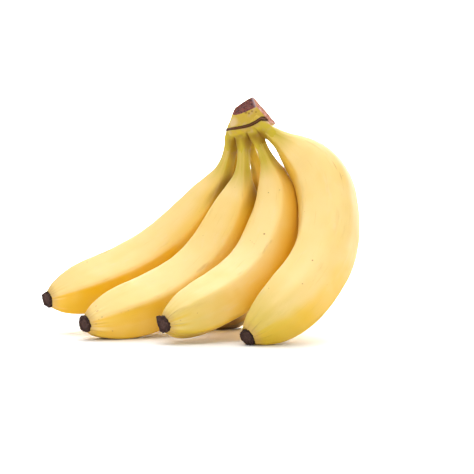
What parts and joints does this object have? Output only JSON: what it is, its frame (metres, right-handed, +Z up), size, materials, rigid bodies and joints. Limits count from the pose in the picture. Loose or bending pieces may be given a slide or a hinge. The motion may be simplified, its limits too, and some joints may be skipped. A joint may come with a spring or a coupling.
{
  "type": "bunch of bananas",
  "caption": "Bunch of ripe bananas grown together at one cut crown, curving to one side, standing crown up on its own fingers.",
  "frame": {"origin": "on the surface that the bunch stands on, in the middle of its outline seen from above", "axes": "+Z up; the fingers curve away towards -X, and the inner row of fingers faces -Y"},
  "size_m": [0.2357, 0.1869, 0.1804],
  "materials": {
    "peel": "waxy satin banana peel, yellow with a slight green tint at the stalk and tip",
    "crown_skin": "matte yellow-brown stem tissue with dry purple-brown cut faces",
    "dried_blossom": "rough dry dark brown"
  },
  "bodies": {
    "root": {"crown": "crown_skin", "finger_1": "peel", "finger_2": "peel", "finger_3": "peel", "finger_4": "peel", "finger_5": "peel", "finger_6": "peel", "blossom_end_1": "dried_blossom", "blossom_end_2": "dried_blossom", "blossom_end_3": "dried_blossom", "blossom_end_4": "dried_blossom", "blossom_end_5": "dried_blossom", "blossom_end_6": "dried_blossom"}
  },
  "joints": []
}
